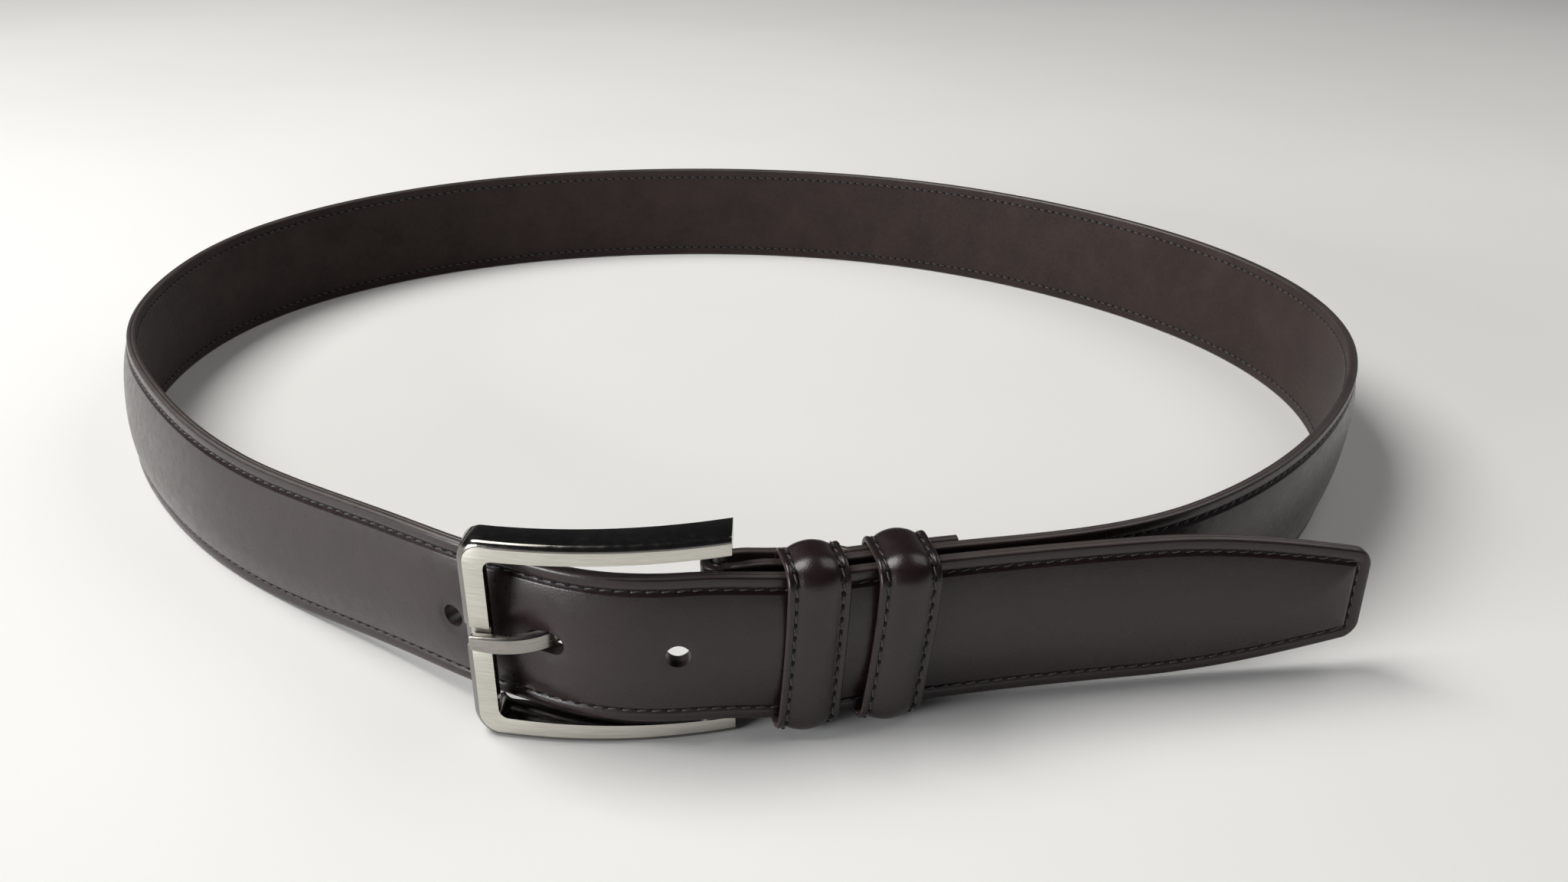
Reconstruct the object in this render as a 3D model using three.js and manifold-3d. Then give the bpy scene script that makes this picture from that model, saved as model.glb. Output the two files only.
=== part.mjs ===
// A gentleman's leather dress belt, buckled and standing on its lower edge.
// Millimetres, +Z up. The route of the strap is laid out from the heel bar, and the finished belt is then moved so
// that its origin is the bottom centre of its bounding box: +X along the longest side, -Y towards the buckle.
import * as THREE from "three";
import { mergeVertices } from "three/addons/utils/BufferGeometryUtils.js";
import Module from "manifold-3d";

const wasm = await Module();
wasm.setup();

// ---- driving dimensions ----
const STRAP_WIDTH = 34;
const HALF_WIDTH = STRAP_WIDTH / 2;
const CROWN = 2.1; // the raised middle stands this far in front of the mid-plane
const BACK = 2.1; // the lining's free face lies this far behind it
const EDGE_FRONT = 0.1; // the grain face at the thin edges
const COVER_THICK = 0.9;
const LINING_THICK = 1;
const FOLD_THICK = 2; // cover and lining pared down together where they wrap the heel bar
const GAP = 0.3; // clearance between neighbours
const FILLER_HALF_WIDTH = 12;

const HOLE_RADIUS = 2.5;
const HOLE_PITCH = 25.4;
const PRONG_HOLE = 173; // from the tip of the tail, along the strap
const FIRST_HOLE_NEARER = 1.9; // the last hole before the prong's is punched a little nearer to it
const STITCH_INSET = 3;
const THREAD = 0.4; // thickness of the stitching thread

const TIP_HALF_WIDTH = 10.5;
const TIP_CORNER = 3.5;
const TIP_TAPER = 50; // length over which the tail narrows

const BUCKLE_HEIGHT = 46;
const BUCKLE_LEFT = -50.3;
const BUCKLE_RIGHT = 2.7;
const BAR_WIDTH = 5.4; // the front bar, seen from the front
const BAR_DEPTH = 3.2;
const LOWER_ARM = 4.9; // height of the arms, seen from the front
const UPPER_ARM = 4.2;
const ARM_END = 3.85; // and at their ends
const ARM_DEPTH = 6.6;
const ARM_DEPTH_END = 8;
const CORNER_OUT = 5;
const CORNER_IN = 2;
const BEVEL = 1.3;
const FACE_APEX = new THREE.Vector2(-24.3, -8); // foremost point of the curved front face
const FACE_RADIUS = 100;

const HEEL_RADIUS = 1.5;
const MID_HEIGHT = BUCKLE_HEIGHT / 2; // height of the prong and of the middle of the buckle
const PRONG_HEIGHT = 3.8;
const PRONG_THICK = 2.2;
const PRONG_BACKSET = 1.5; // from the buckle's left edge to the prong's tip
const PRONG_LOOP_RADIUS = 3.5;
const NOTCH_DEPTH = 1.2;

const KEEPER_WIDTH = 12.6;
const KEEPER_WALL = 1.85;
const FIXED_KEEPER_AT = 19.2; // along the strap from the heel bar
const FREE_KEEPER_AT = 37.2;
const TURNBACK_END = 51;
const TAIL_HINGE_X = 50; // where the free tail begins to bend, past the keepers

const leather = (color) => ({ color, roughness: 0.45, metalness: 0 });
const COVER_LOOK = leather(0x33242a);
const LINING_LOOK = leather(0x2c1d1b);
const FILLER_LOOK = leather(0x6b5344);
const THREAD_LOOK = { color: 0x1f1618, roughness: 0.8, metalness: 0 };
const STEEL_LOOK = { color: 0xb9b6aa, roughness: 0.3, metalness: 1 };

// ---- helpers ----
const smooth = (from, to, x) => {
  const t = THREE.MathUtils.clamp((x - from) / (to - from), 0, 1);
  return t * t * (3 - 2 * t);
};
const span = (from, to, count) => Array.from({ length: count + 1 }, (_, i) => from + ((to - from) * i) / count);

// Sweeps a flat outline through `count` stations. The outline is extruded straight, and place(p, q, i) says where its
// point (p, q) goes at station i.
function loft(outline, count, place) {
  const shape = new THREE.Shape(outline.map(([p, q]) => new THREE.Vector2(p, q)));
  const steps = count - 1;
  const geometry = new THREE.ExtrudeGeometry(shape, { depth: steps, steps, bevelEnabled: false });
  const at = geometry.getAttribute("position");
  for (let i = 0; i < at.count; i++) {
    const point = place(at.getX(i), at.getY(i), Math.round(at.getZ(i)));
    at.setXYZ(i, point.x, point.y, point.z);
  }
  return geometry;
}

function solid(geometry) {
  const bare = geometry.clone();
  bare.deleteAttribute("normal");
  bare.deleteAttribute("uv");
  const merged = mergeVertices(bare, 1e-4);
  const mesh = new wasm.Mesh({
    numProp: 3,
    vertProperties: new Float32Array(merged.getAttribute("position").array),
    triVerts: new Uint32Array(merged.index.array),
  });
  return new wasm.Manifold(mesh);
}

function geometryOf(body) {
  const mesh = body.getMesh();
  const geometry = new THREE.BufferGeometry();
  geometry.setAttribute("position", new THREE.BufferAttribute(mesh.vertProperties, 3));
  geometry.setIndex(new THREE.BufferAttribute(mesh.triVerts, 1));
  const flat = geometry.toNonIndexed();
  flat.computeVertexNormals();
  return flat;
}

const cut = (geometry, tools) =>
  geometryOf(tools.reduce((body, tool) => body.subtract(solid(tool)), solid(geometry)));

const join = (geometry, more) => geometryOf(more.reduce((body, one) => body.add(solid(one)), solid(geometry)));

const belt = new THREE.Group();
function add(name, geometry, look) {
  const mesh = new THREE.Mesh(geometry, new THREE.MeshStandardMaterial(look));
  mesh.name = name;
  belt.add(mesh);
}

// ---- the route of the strap ----
// The mid-plane of the strap seen from above, as a uniform cubic B-spline from the heel bar, round the waist loop,
// through the buckle and on to the tip of the tail. The heel bar stands at (0, 0).
const ROUTE_POINTS = [
  [-1, -2], [32, 6.5], [65.5, 12.5], [98, 25.5], [128, 49], [153, 82], [171.5, 120], [173.5, 162], [156.5, 207],
  [121, 248.5], [72.5, 283], [13.5, 301], [-49.5, 301.5], [-106.5, 287], [-151, 257.5], [-178, 219], [-185, 175],
  [-178.5, 131.5], [-155.5, 94.5], [-127.5, 61], [-96, 37.5], [-70, 18.5], [-52.5, 5], [-39.5, -1], [-26.5, -7.5],
  [-5.5, -9], [22.5, -0.5], [69, 9], [137, 19],
];

class StrapRoute extends THREE.Curve {
  constructor(points) {
    super();
    const ends = (a, b) => [2 * a[0] - b[0], 2 * a[1] - b[1]];
    this.points = [ends(points[0], points[1]), ...points, ends(points.at(-1), points.at(-2))];
    this.arcLengthDivisions = 2000;
  }

  getPoint(t, target = new THREE.Vector3()) {
    const spans = this.points.length - 3;
    const k = Math.min(Math.floor(t * spans), spans - 1);
    const s = t * spans - k;
    const weights = [(1 - s) ** 3, 3 * s ** 3 - 6 * s ** 2 + 4, -3 * s ** 3 + 3 * s ** 2 + 3 * s + 1, s ** 3];
    target.set(0, 0, 0);
    weights.forEach((weight, i) => {
      target.x += (weight * this.points[k + i][0]) / 6;
      target.y += (weight * this.points[k + i][1]) / 6;
    });
    return target;
  }
}

const route = new StrapRoute(ROUTE_POINTS);
const LENGTH = route.getLength();
const HEEL_AT = 1.46; // the point of the route beside the heel bar

// Where a leather length meets a line across the tail: distance from the start at which the route has this x.
function alongTailAt(x) {
  let [low, high] = [LENGTH - 260, LENGTH];
  for (let i = 0; i < 40; i++) {
    const middle = (low + high) / 2;
    if (route.getPointAt(middle / LENGTH).x < x) low = middle;
    else high = middle;
  }
  return low;
}
const BEHIND_BAR = alongTailAt(-48);
const AT_HEEL = alongTailAt(0);
const AT_HINGE = alongTailAt(TAIL_HINGE_X);

// Height of the strap's lower edge above the floor. The buckle is taller than the strap and lifts it.
const IN_BUCKLE = 5.4;
const TO_KEEPER = 3;
const TO_FLOOR = 2.4;
const TIP_DROP = 1.2; // the free tail sags a little
function lift(u) {
  if (u < LENGTH / 2) return IN_BUCKLE - TO_KEEPER * smooth(-6, 22, u) - TO_FLOOR * smooth(45, 110, u);
  const left = LENGTH - u;
  return IN_BUCKLE * (1 - smooth(185, 275, left)) - TO_KEEPER * smooth(AT_HEEL - 6, AT_HEEL + 22, u) -
    TIP_DROP * smooth(AT_HINGE, LENGTH + 40, u);
}

// The strap leans, as depth per height above its middle: round the back of the loop its top edge is outwards, and on
// the run to the left of the buckle its lower edge is.
const BACK_LEAN = 0.08;
const LEFT_LEAN = 0.11;
const tilt = (u) => LEFT_LEAN * smooth(LENGTH - 560, LENGTH - 390, u) * (1 - smooth(LENGTH - 345, LENGTH - 195, u)) -
  BACK_LEAN * smooth(60, 200, u) * (1 - smooth(LENGTH - 560, LENGTH - 390, u));

// A station of the strap: its point on the mid-plane, the direction from the grain side to the lining side, the
// direction along the strap, and the height of its lower edge.
function station(u) {
  const point = route.getPointAt(u / LENGTH);
  const along = route.getTangentAt(u / LENGTH);
  return { u, point, along, across: new THREE.Vector3(-along.y, along.x, 0), lift: lift(u), tilt: tilt(u) };
}

// Half the width of the strap: full, then narrowing to the blunt tip with rounded corners.
function halfWidth(u) {
  const left = LENGTH - u;
  const tapered = TIP_HALF_WIDTH + (HALF_WIDTH - TIP_HALF_WIDTH) * Math.sin((Math.PI / 2) * Math.min(1, left / TIP_TAPER));
  const short = Math.max(0, TIP_CORNER - left);
  return tapered - TIP_CORNER + Math.sqrt(TIP_CORNER ** 2 - Math.min(short, TIP_CORNER) ** 2);
}

// The grain face: flat along the middle, falling to a stitch groove and a thin edge. w is the height above the
// middle of the strap, for a strap of full width.
const GRAIN_PROFILE = [[4, CROWN], [9, 1.8], [14, 0.4], [HALF_WIDTH, EDGE_FRONT]];
function grainFace(w) {
  const from = Math.abs(w);
  if (from <= GRAIN_PROFILE[0][0]) return -CROWN;
  const k = Math.max(1, GRAIN_PROFILE.findIndex(([at]) => from <= at + 1e-6));
  const [[w0, f0], [w1, f1]] = [GRAIN_PROFILE[k - 1], GRAIN_PROFILE[k]];
  return -(f0 + ((f1 - f0) * (from - w0)) / (w1 - w0));
}

// Point of a station at a depth behind its mid-plane and a height above its middle.
function strapPoint(at, depth, w) {
  const height = at.lift + HALF_WIDTH + (w * halfWidth(at.u)) / HALF_WIDTH;
  return at.point.clone().addScaledVector(at.across, depth + at.tilt * w).setZ(height);
}

// Each ply is an outline of (side, w): side 0 is its grain side and side 1 its flesh side.
const plyOutline = (heights) => [...heights.map((w) => [0, w]), ...heights.toReversed().map((w) => [1, w])];
const mirrored = (heights) => [...heights.map((w) => -w), ...heights.toReversed()];
const COVER_OUTLINE = plyOutline(mirrored([HALF_WIDTH, 14, 9, 4]));
const FILLER_OUTLINE = plyOutline(mirrored([FILLER_HALF_WIDTH, 9, 4]));
const LINING_OUTLINE = plyOutline(mirrored([HALF_WIDTH]));

const mix = (a, b, t) => a + (b - a) * t;
const coverDepth = (side, w) => grainFace(w) + side * COVER_THICK;
const fillerDepth = (side, w) => mix(grainFace(w) + COVER_THICK + GAP, BACK - LINING_THICK - GAP, side);
const liningDepth = (side) => BACK - LINING_THICK * (1 - side);

const ply = (outline, stations, depth) =>
  loft(outline, stations.length, (side, w, i) => strapPoint(stations[i], depth(side, w, stations[i]), w));

// ---- stitching ----
function thread(points) {
  const path = new THREE.CatmullRomCurve3(points);
  const half = THREAD / 2;
  const corners = [[-half, -half], [half, -half], [half, half], [-half, half]];
  const section = new THREE.Shape(corners.map(([x, y]) => new THREE.Vector2(x, y)));
  return new THREE.ExtrudeGeometry(section, { steps: points.length - 1, extrudePath: path, bevelEnabled: false });
}

// A point of the stitch row: just proud of the grain face, in the groove. side is 1 for the upper row, -1 below.
function stitchPoint(u, side, inset = STITCH_INSET) {
  const at = station(u);
  const half = halfWidth(u);
  const w = (side * (half - inset) * HALF_WIDTH) / half;
  return strapPoint(at, grainFace(w) - GAP - THREAD, w);
}

// ---- holes ----
const holeAt = (k) => LENGTH - PRONG_HOLE + HOLE_PITCH * k + (k < 0 ? FIRST_HOLE_NEARER : 0);
function holeTool(k) {
  const at = station(holeAt(k));
  const tool = new THREE.CylinderGeometry(HOLE_RADIUS, HOLE_RADIUS, 7, 16);
  tool.rotateZ(Math.atan2(at.across.y, at.across.x) - Math.PI / 2);
  return tool.translate(at.point.x, at.point.y, at.lift + HALF_WIDTH);
}

// ---- the buckle ----
const faceY = (x) => FACE_APEX.y + FACE_RADIUS - Math.sqrt(FACE_RADIUS ** 2 - (x - FACE_APEX.x) ** 2);

// Stations of the lower half of the frame, from the end of its arm to the bar: outer edge, inner edge and depth.
function halfFrame(armHeight) {
  const ends = [BUCKLE_RIGHT, BUCKLE_LEFT + BAR_WIDTH + CORNER_IN];
  const arm = span(...ends, 9).map((x) => {
    const back = (x - ends[1]) / (ends[0] - ends[1]);
    return { out: [x, 0], in: [x, mix(armHeight, ARM_END, back)], depth: mix(ARM_DEPTH, ARM_DEPTH_END, back) };
  });
  const corner = [22.5, 45, 67.5, 90].map((degrees) => {
    const angle = THREE.MathUtils.degToRad(degrees);
    const turn = (x, z, r) => [x - r * Math.sin(angle), z - r * Math.cos(angle)];
    return {
      out: turn(BUCKLE_LEFT + CORNER_OUT, CORNER_OUT, CORNER_OUT),
      in: turn(BUCKLE_LEFT + BAR_WIDTH + CORNER_IN, armHeight + CORNER_IN, CORNER_IN),
      depth: degrees === 90 ? BAR_DEPTH : ARM_DEPTH,
    };
  });
  return [...arm, ...corner];
}

function frameStations() {
  const flipped = ({ out, in: inner, depth }) => ({
    out: [out[0], BUCKLE_HEIGHT - out[1]],
    in: [inner[0], BUCKLE_HEIGHT - inner[1]],
    depth,
  });
  return [...halfFrame(LOWER_ARM), ...halfFrame(UPPER_ARM).toReversed().map(flipped)];
}

function buckleFrame() {
  const WHOLE = 100; // stands for the full width or depth of a station
  const outline = [[0, BEVEL], [BEVEL, 0], [WHOLE, 0], [WHOLE, WHOLE], [0, WHOLE]];
  const stations = frameStations();
  const frame = loft(outline, stations.length, (p, q, i) => {
    const at = stations[i];
    const [dx, dz] = [at.in[0] - at.out[0], at.in[1] - at.out[1]];
    const wide = Math.hypot(dx, dz);
    const t = Math.min(p, wide) / wide;
    const x = at.out[0] + dx * t;
    return new THREE.Vector3(x, faceY(x) + Math.min(q, at.depth), at.out[1] + dz * t);
  });
  const sockets = [6, BUCKLE_HEIGHT - 6].map((z) =>
    new THREE.CylinderGeometry(HEEL_RADIUS + GAP, HEEL_RADIUS + GAP, 8.6, 20).rotateX(Math.PI / 2).translate(0, 0, z));
  const middle = BUCKLE_LEFT + BAR_WIDTH / 2;
  const slope = (middle - FACE_APEX.x) / FACE_RADIUS;
  const notch = new THREE.BoxGeometry(BAR_WIDTH + 4, 2 * NOTCH_DEPTH, PRONG_HEIGHT + 1.6);
  notch.rotateZ(slope).translate(middle, faceY(middle), MID_HEIGHT + 0.5);
  return cut(frame, [...sockets, notch]);
}

function heelBar() {
  return new THREE.CylinderGeometry(HEEL_RADIUS, HEEL_RADIUS, BUCKLE_HEIGHT - 4, 20)
    .rotateX(Math.PI / 2)
    .translate(0, 0, MID_HEIGHT);
}

// The prong's middle line from its tip, over the notch, through the strap and on to its loop round the heel bar.
// `grow` thickens it all round, which makes the tool that opens the strap for it.
function prong(grow = 0) {
  const rest = (x) => faceY(x) + NOTCH_DEPTH - GAP - PRONG_THICK / 2;
  const tip = BUCKLE_LEFT + PRONG_BACKSET;
  const path = new THREE.SplineCurve([
    new THREE.Vector2(tip - grow, rest(tip)),
    new THREE.Vector2(-46.5, rest(-46.5)),
    new THREE.Vector2(-43, rest(-44)),
    new THREE.Vector2(-37, -5.2),
    new THREE.Vector2(-34, -3.6),
    new THREE.Vector2(-31, -2.2),
    new THREE.Vector2(-17, -2),
    new THREE.Vector2(0, PRONG_THICK / 2 - PRONG_LOOP_RADIUS),
  ]);
  const half = PRONG_THICK / 2 + grow;
  const line = path.getSpacedPoints(20);
  const sides = [-1, 1].map((side) => line.map((point, i) => {
    const along = path.getTangentAt(i / 20);
    return new THREE.Vector2(point.x - along.y * side * half, point.y + along.x * side * half);
  }));
  const shape = new THREE.Shape([...sides[0], ...sides[1].toReversed()]);
  const height = PRONG_HEIGHT + 2 * grow;
  const edge = grow ? 0 : 0.3;
  const shank = new THREE.ExtrudeGeometry(shape, {
    depth: height - 2 * edge,
    bevelEnabled: edge > 0,
    bevelThickness: edge,
    bevelSize: edge,
    bevelOffset: -edge,
    bevelSegments: 1,
  }).translate(0, 0, MID_HEIGHT - height / 2 + edge);
  const ring = (r, tall) => new THREE.CylinderGeometry(r, r, tall, 24).rotateX(Math.PI / 2).translate(0, 0, MID_HEIGHT);
  if (grow) return shank;
  return cut(join(shank, [ring(PRONG_LOOP_RADIUS, height)]), [ring(HEEL_RADIUS + GAP, height + 2)]);
}

add("buckle_frame", buckleFrame(), STEEL_LOOK);
add("heel_bar", heelBar(), STEEL_LOOK);
add("prong", prong(), STEEL_LOOK);

// ---- the strap, in the lengths that flex against each other ----
const FLEX_GAP = 1.4; // between two lengths
const STEP = 14;
const stationsOf = (from, to, step = STEP) => span(from, to, Math.ceil((to - from) / step)).map(station);

// The fold at the buckle end: up the back of the strap from the end of the turnback, round the heel bar and into
// the cover. depth is where the middle of the fold lies behind the mid-plane of the strap.
const KEEPER_BACK = BACK + 0.9; // inner face of the fixed keeper where it passes behind the strap
const KEEPER_PARED = 0.62; // its ends are pared down there
const BEHIND_KEEPER = KEEPER_BACK + KEEPER_WALL * KEEPER_PARED + GAP + FOLD_THICK / 2;
const BEHIND_LINING = BACK + GAP + FOLD_THICK / 2;
const FOLD_RADIUS = HEEL_RADIUS + GAP + FOLD_THICK / 2;
function foldStations() {
  const turned = (u) => {
    const at = station(u);
    const behindBar = FOLD_RADIUS - at.across.dot(at.point);
    const settled = mix(BEHIND_KEEPER, BEHIND_LINING, smooth(25.6, 28, u));
    const depth = mix(behindBar, settled, smooth(HEEL_AT, 8, u));
    return { ...at, point: at.point.clone().addScaledVector(at.across, depth), across: at.across.clone().negate() };
  };
  const back = [TURNBACK_END, 43, 35, 28, 26.8, 25.6, 19, 12, 8, 5, HEEL_AT].map(turned);
  const start = station(HEEL_AT);
  const heading = Math.atan2(start.across.y, start.across.x);
  const round = span(0, 1, 10).slice(1, -1).map((t) => {
    const out = new THREE.Vector3(Math.cos(heading + Math.PI * t), Math.sin(heading + Math.PI * t), 0);
    return { ...start, point: out.clone().multiplyScalar(FOLD_RADIUS), across: out.clone().negate() };
  });
  return [...back, ...round].map((at) => ({ ...at, fold: true }));
}

// From the fold the cover pares down to its own thickness, and its middle rises to the full crown.
function loopCover() {
  const pared = 11;
  const stations = [...foldStations(), ...[HEEL_AT, 4, 7, 10].map(station), ...stationsOf(13, BEHIND_BAR - FLEX_GAP / 2)];
  return ply(COVER_OUTLINE, stations, (side, w, at) => {
    if (at.fold) return (side - 0.5) * FOLD_THICK;
    const flat = 1 - smooth(HEEL_AT, pared, at.u);
    const front = mix(grainFace(w), -CROWN, flat);
    return front + side * mix(COVER_THICK, FOLD_THICK, flat);
  });
}

// The prong's loop needs a slot in the fold.
const SLOT_LENGTH = 12;
const SLOT_DEPTH = 10.5;
const SLOT_HEIGHT = PRONG_HEIGHT + 1.4;
const foldSlot = new THREE.BoxGeometry(SLOT_LENGTH, SLOT_DEPTH, SLOT_HEIGHT).translate(-1, 0, MID_HEIGHT);
const prongPlay = 1.5; // degrees
const turnedAboutHeel = (geometry, degrees) => geometry.rotateZ(THREE.MathUtils.degToRad(degrees));
const prongOpening = [0, prongPlay].map((degrees) => turnedAboutHeel(prong(0.35), degrees));

const LOOP_END = BEHIND_BAR - FLEX_GAP / 2;
const lengths = [
  { name: "window", from: BEHIND_BAR + FLEX_GAP / 2, to: AT_HEEL - FLEX_GAP / 2, holes: [0, 1], step: 4 },
  { name: "keeper_length", from: AT_HEEL + FLEX_GAP / 2, to: AT_HINGE - FLEX_GAP / 2, holes: [2, 3], step: 8 },
];

const firstHole = [holeTool(-1)];
add("strap_cover", cut(loopCover(), [foldSlot, ...firstHole]), COVER_LOOK);
add("strap_filler", cut(ply(FILLER_OUTLINE, stationsOf(13, LOOP_END), fillerDepth), firstHole), FILLER_LOOK);
add("strap_lining", cut(ply(LINING_OUTLINE, stationsOf(13, LOOP_END), liningDepth), firstHole), LINING_LOOK);
for (const [row, side] of [["upper", 1], ["lower", -1]]) {
  const run = span(14, LOOP_END - 1, 80).map((u) => stitchPoint(u, side));
  add(`strap_stitching_${row}`, thread(run), THREAD_LOOK);
}

for (const { name, from, to, holes, step } of lengths) {
  const tools = [...holes.map(holeTool), ...(name === "window" ? prongOpening : [])];
  const stations = stationsOf(from, to, step);
  add(`${name}_cover`, cut(ply(COVER_OUTLINE, stations, coverDepth), tools), COVER_LOOK);
  add(`${name}_filler`, cut(ply(FILLER_OUTLINE, stations, fillerDepth), tools), FILLER_LOOK);
  add(`${name}_lining`, cut(ply(LINING_OUTLINE, stations, liningDepth), tools), LINING_LOOK);
  for (const [row, side] of [["upper", 1], ["lower", -1]]) {
    const run = span(from + 1, to - 1, 10).map((u) => stitchPoint(u, side));
    add(`${name}_stitching_${row}`, thread(run), THREAD_LOOK);
  }
}

// The free tail, whose stitching follows its outline and crosses the blunt end.
const TAIL_FROM = AT_HINGE + FLEX_GAP / 2;
const tailStations = [
  ...stationsOf(TAIL_FROM, LENGTH - TIP_TAPER, 9).slice(0, -1),
  ...[50, 42, 34, 26, 18, 11, 6, 3.5, 2, 0.8, 0.1].map((left) => station(LENGTH - left)),
];
const fillerStations = tailStations.filter(({ u }) => u < LENGTH - 5);
add("tail_cover", ply(COVER_OUTLINE, tailStations, coverDepth), COVER_LOOK);
add("tail_filler", ply(FILLER_OUTLINE, fillerStations, fillerDepth), FILLER_LOOK);
add("tail_lining", ply(LINING_OUTLINE, tailStations, liningDepth), LINING_LOOK);
const CROSSING = LENGTH - STITCH_INSET - 0.6;
const tailRow = (side) => span(TAIL_FROM + 1, CROSSING, 14).map((u) => stitchPoint(u, side));
const crossingInsets = span(STITCH_INSET, 2 * halfWidth(CROSSING) - STITCH_INSET, 8).slice(1, -1);
const crossingRow = crossingInsets.map((inset) => stitchPoint(CROSSING, -1, inset));
add("tail_stitching", thread([...tailRow(-1), ...crossingRow, ...tailRow(1).toReversed()]), THREAD_LOOK);

// One row across the turnback closes the fold.
const closing = station(TURNBACK_END - 2);
const closingRow = [-14, 0, 14].map((w) => strapPoint(closing, BEHIND_LINING + FOLD_THICK / 2 + GAP + THREAD / 2, w));
add("turnback_stitching", thread(closingRow), THREAD_LOOK);

// ---- the keepers ----
// A keeper is a strip with a rounded rib along its middle, wrapped round the strap and tail in the plane across them.
// Its stations run from the back, under the strap, up the front, over the top and down the back again.
function keeperStations({ at, front, back, low, high, thin, opening, swing }) {
  const centre = station(at);
  const corner = 2.2;
  const middle = (low + high) / 2;
  const spots = [];
  const spot = (depth, z, angle, scale = 1) => spots.push({ depth, z, angle: THREE.MathUtils.degToRad(angle), scale });
  const turn = (depth, z, from, scale) =>
    span(from, from - 90, 3).forEach((angle) => {
      const a = THREE.MathUtils.degToRad(angle);
      spot(depth + corner * Math.cos(a), z + corner * Math.sin(a), angle, scale);
    });
  spot(back, middle - opening, 0, thin);
  turn(back - corner, low + corner, 0, thin);
  turn(front + corner, low + corner, -90, 1);
  spot(front, middle, -180, 1);
  turn(front + corner, high - corner, -180, 1);
  turn(back - corner, high - corner, -270, thin);
  spot(back, middle + opening, -360, thin);
  const swung = (z) => mix(swing[1], swing[0], Math.max(0, 1 - z / SWING_TOP) ** SWING_CURVE);
  return spots.map(({ depth, z, angle, scale }) => ({
    base: centre.point.clone().addScaledVector(centre.across, depth).addScaledVector(centre.along, swung(z)).setZ(z),
    out: centre.across.clone().multiplyScalar(Math.cos(angle)).setZ(Math.sin(angle)),
    along: centre.along,
    scale,
  }));
}

const KEEPER_HALF = KEEPER_WIDTH / 2;
const FREE_KEEPER_BACK = 5.5;
const KEEPER_ROW = 4.9; // each stitch row from the middle of its keeper
const keeperPoint = (at, out, along) =>
  at.base.clone().addScaledVector(at.out, out * at.scale).addScaledVector(at.along, along);

// Outlines of (distance out from the strap, distance along it).
const rib = (edge, top, foot, crest) => [[edge, -foot], [top, -crest], [top, crest], [edge, foot]];
const KEEPER_FILLER = [
  [0, -5.7], [0.4, -5.7], ...rib(0.4, 0.8, 3.8, 2), [0.4, 5.7], [0, 5.7],
];
const KEEPER_COVER = [
  [0.65, -KEEPER_HALF], [1.35, -KEEPER_HALF], ...rib(1.35, KEEPER_WALL, 3.8, 2.2), [1.35, KEEPER_HALF],
  [0.65, KEEPER_HALF], ...rib(0.65, 1.05, 4, 2.1).toReversed(),
];

// The keepers have worked round a little: their lower ends stand nearer the buckle. swing is how far along the strap
// the lower and the upper end stand.
const SWING_TOP = 38;
const SWING_CURVE = 1.6;
const keepers = [
  {
    name: "fixed_keeper",
    at: FIXED_KEEPER_AT,
    front: -7.4,
    back: KEEPER_BACK,
    low: 2.1,
    high: 38.4,
    thin: KEEPER_PARED,
    opening: 9,
    swing: [-2.4, 0.1],
  },
  {
    name: "free_keeper",
    at: FREE_KEEPER_AT,
    front: -7.9,
    back: FREE_KEEPER_BACK,
    low: 2.1,
    high: 36.9,
    thin: 1,
    opening: 0.4,
    swing: [-3.2, 0.8],
  },
];
for (const keeper of keepers) {
  const stations = keeperStations(keeper);
  const wrap = (outline) => loft(outline, stations.length, (out, along, i) => keeperPoint(stations[i], out, along));
  add(`${keeper.name}_cover`, wrap(KEEPER_COVER), COVER_LOOK);
  add(`${keeper.name}_filler`, wrap(KEEPER_FILLER), FILLER_LOOK);
  for (const [row, side] of [["left", -1], ["right", 1]]) {
    const [low, high] = [side * KEEPER_ROW - THREAD / 2, side * KEEPER_ROW + THREAD / 2];
    const section = [[1.5, low], [1.5 + THREAD, low], [1.5 + THREAD, high], [1.5, high]];
    const seen = stations.slice(3, -3);
    const run = loft(section, seen.length, (out, along, i) => keeperPoint(seen[i], out, along));
    add(`${keeper.name}_stitching_${row}`, run, THREAD_LOOK);
  }
}

// The staple bridges the two ends of the free keeper, behind the strap.
const STAPLE = { width: 1.2, thick: 0.5, height: 8, z: 19.5 };
const freeKeeper = station(FREE_KEEPER_AT);
const staple = new THREE.BoxGeometry(STAPLE.width, STAPLE.thick, STAPLE.height);
staple.rotateZ(Math.atan2(freeKeeper.along.y, freeKeeper.along.x));
const stapleDepth = FREE_KEEPER_BACK + KEEPER_WALL + GAP + STAPLE.thick / 2;
const stapleAt = freeKeeper.point.clone().addScaledVector(freeKeeper.across, stapleDepth);
add("free_keeper_staple", staple.translate(stapleAt.x, stapleAt.y, STAPLE.z), STEEL_LOOK);

// ---- origin: bottom centre of the bounding box ----
const bounds = new THREE.Box3().setFromObject(belt);
const middle = bounds.getCenter(new THREE.Vector3());
belt.position.set(-middle.x, -middle.y, -bounds.min.z);

export default belt;
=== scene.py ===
import math

import bmesh
import bpy
import numpy as np
from mathutils import Matrix, Vector


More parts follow.
